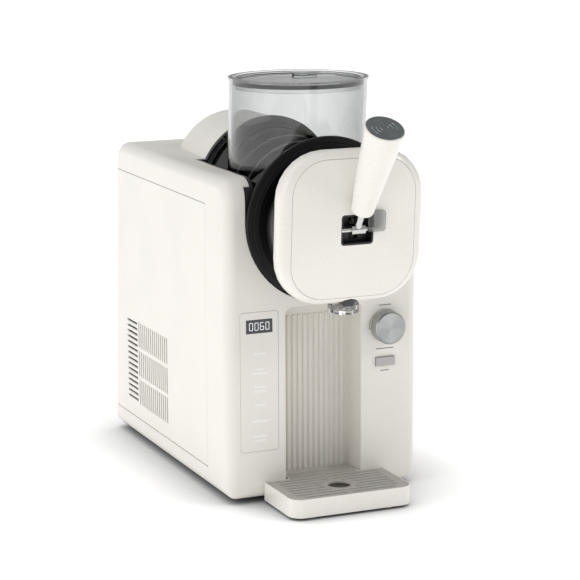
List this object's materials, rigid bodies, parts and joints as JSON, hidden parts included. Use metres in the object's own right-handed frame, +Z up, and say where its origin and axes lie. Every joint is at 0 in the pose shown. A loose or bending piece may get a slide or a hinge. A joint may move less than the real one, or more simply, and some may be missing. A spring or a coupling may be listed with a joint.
{
  "type": "soft-serve ice cream maker",
  "caption": "Countertop compressor ice cream maker: clear tilted barrel, oval hopper and lid, rounded front cover with pull-down lever, splash recess, knob, display and sliding drip tray.",
  "frame": {"origin": "on the table under the middle of the machine, half-way between the lever cap and the back", "axes": "+Z up, +X to the right seen from the front, +Y to the back"},
  "size_m": [0.205, 0.4931, 0.4114],
  "materials": {
    "cream_body": "satin moulded ABS",
    "cream_gloss": "smooth moulded ABS",
    "recess_plastic": "satin moulded ABS, slightly darker",
    "black_plastic": "satin black moulded plastic",
    "dark_collar": "polished black moulded plastic",
    "black_rubber": "soft matt rubber",
    "display_lens": "smoked acrylic",
    "circuit_board": "solder-masked laminate",
    "smoked_copolyester": "clear smoked copolyester",
    "clear_copolyester": "clear copolyester",
    "grey_plastic": "satin warm grey plastic",
    "spun_aluminium": "spun, clear anodised",
    "button_grey": "satin light grey plastic",
    "polished_steel": "polished stainless steel",
    "brushed_drum": "brushed stainless steel",
    "zinc_steel": "zinc plated",
    "black_steel": "black enamel",
    "fin_aluminium": "mill finish fins",
    "copper_pipe": "drawn copper",
    "bronze_bush": "sintered bronze",
    "silicone_red": "silicone",
    "acetal_white": "natural acetal",
    "gunmetal_cap": "dark grey painted cap",
    "dark_plastic": "glass-filled nylon"
  },
  "bodies": {
    "machine": {"main_housing": "cream_body", "side_panel_left": "cream_body", "side_panel_right": "cream_body", "rear_panel": "cream_body", "base_plate": "dark_plastic", "rubber_feet": "black_rubber", "cradle_liner": "black_plastic", "bulkhead": "black_plastic", "hump_cover": "cream_gloss", "splash_back": "recess_plastic", "control_bezel": "cream_gloss", "display_window": "display_lens", "display_board": "circuit_board", "main_board": "circuit_board", "power_inlet": "black_plastic", "compressor": "black_steel", "compressor_mounts": "black_rubber", "condenser_coil": "fin_aluminium", "fan_shroud": "dark_plastic", "fan_motor": "dark_plastic", "freezing_drum": "brushed_drum", "refrigerant_lines": "copper_pipe", "filter_drier": "copper_pipe", "drive_motor": "zinc_steel", "gearbox_housing": "dark_plastic", "shaft_bearing": "bronze_bush", "shaft_seal": "silicone_red", "rear_gasket": "black_rubber", "encoder_body": "dark_plastic", "mode_switch": "dark_plastic", "panel_screws": "zinc_steel", "button_spring": "zinc_steel"},
    "fan": {"fan_blades": "dark_plastic"},
    "auger_train": {"drive_shaft": "polished_steel", "output_gear": "acetal_white", "auger": "dark_plastic"},
    "idler": {"idler_gear": "acetal_white"},
    "pinion": {"motor_pinion": "zinc_steel"},
    "encoder": {"encoder_shaft": "zinc_steel"},
    "knob": {"control_knob": "spun_aluminium"},
    "mode_key": {"mode_button": "button_grey"},
    "tray": {"drip_tray": "cream_gloss"},
    "grille": {"drip_grille": "grey_plastic"},
    "vessel_unit": {"vessel": "smoked_copolyester", "front_gasket": "black_rubber"},
    "head": {"front_cover": "cream_gloss", "cover_face": "cream_gloss", "pivot_box": "black_plastic", "valve_block": "dark_collar", "nozzle": "clear_copolyester", "pivot_pin": "grey_plastic"},
    "lid": {"hopper_lid": "clear_copolyester", "lid_gasket": "black_rubber"},
    "lever": {"lever_stem": "polished_steel", "lever_grip": "cream_gloss", "lever_cap": "gunmetal_cap"},
    "piston": {"valve_piston": "acetal_white", "piston_rings": "black_rubber"}
  },
  "joints": [
    {"name": "fan_spin", "type": "hinge", "parent": "machine", "child": "fan", "pos_m": [0, 0.19595, 0.112], "axis": [0, 1, 0], "continuous": true},
    {"name": "auger_spin", "type": "hinge", "parent": "machine", "child": "auger_train", "pos_m": [0, -0.03422, 0.2835], "axis": [0, 0.9972, 0.075], "continuous": true},
    {"name": "idler_spin", "type": "hinge", "parent": "machine", "child": "idler", "pos_m": [0, 0.06837, 0.31941], "axis": [0, 0.9972, 0.075], "continuous": true},
    {"name": "motor_spin", "type": "hinge", "parent": "machine", "child": "pinion", "pos_m": [-0.00825, 0.07007, 0.29681], "axis": [0, 0.9972, 0.075], "continuous": true},
    {"name": "knob_turn", "type": "hinge", "parent": "machine", "child": "encoder", "pos_m": [0.0664, -0.09906, 0.1664], "axis": [0, 1, 0], "range_deg": [-80, 80]},
    {"name": "knob_press", "type": "slide", "parent": "encoder", "child": "knob", "axis": [0, 1, 0], "range_m": [0, 0.0015], "stiffness_N_per_m": 900, "springref_m": -0.001},
    {"name": "mode_press", "type": "slide", "parent": "machine", "child": "mode_key", "axis": [0, 1, 0], "range_m": [0, 0.0015], "stiffness_N_per_m": 600, "springref_m": -0.001, "deforming": ["button_spring"]},
    {"name": "drip_tray_slide", "type": "slide", "parent": "machine", "child": "tray", "axis": [0, -1, 0], "range_m": [0, 0.085]},
    {"name": "grille_lift", "type": "slide", "parent": "tray", "child": "grille", "axis": [0, 0, 1], "range_m": [0, 0.025]},
    {"name": "vessel_slide", "type": "slide", "parent": "machine", "child": "vessel_unit", "axis": [0, -0.9972, -0.075], "range_m": [0, 0.15]},
    {"name": "cover_slide", "type": "slide", "parent": "vessel_unit", "child": "head", "axis": [0, -0.9972, -0.075], "range_m": [0, 0.045]},
    {"name": "lid_lift", "type": "slide", "parent": "vessel_unit", "child": "lid", "axis": [0, -0.075, 0.9972], "range_m": [0, 0.06]},
    {"name": "lever_pull", "type": "hinge", "parent": "head", "child": "lever", "pos_m": [0, -0.17136, 0.28021], "axis": [1, 0, 0], "range_deg": [0, 35]},
    {"name": "piston_lift", "type": "slide", "parent": "head", "child": "piston", "axis": [0, -0.075, 0.9972], "range_m": [0, 0.0182]}
  ],
  "couplings": [
    {"joint": "idler_spin", "follows": "auger_spin", "ratio": -4},
    {"joint": "motor_spin", "follows": "auger_spin", "ratio": 16},
    {"joint": "piston_lift", "follows": "lever_pull", "m_per_rad": 0.0281}
  ]
}
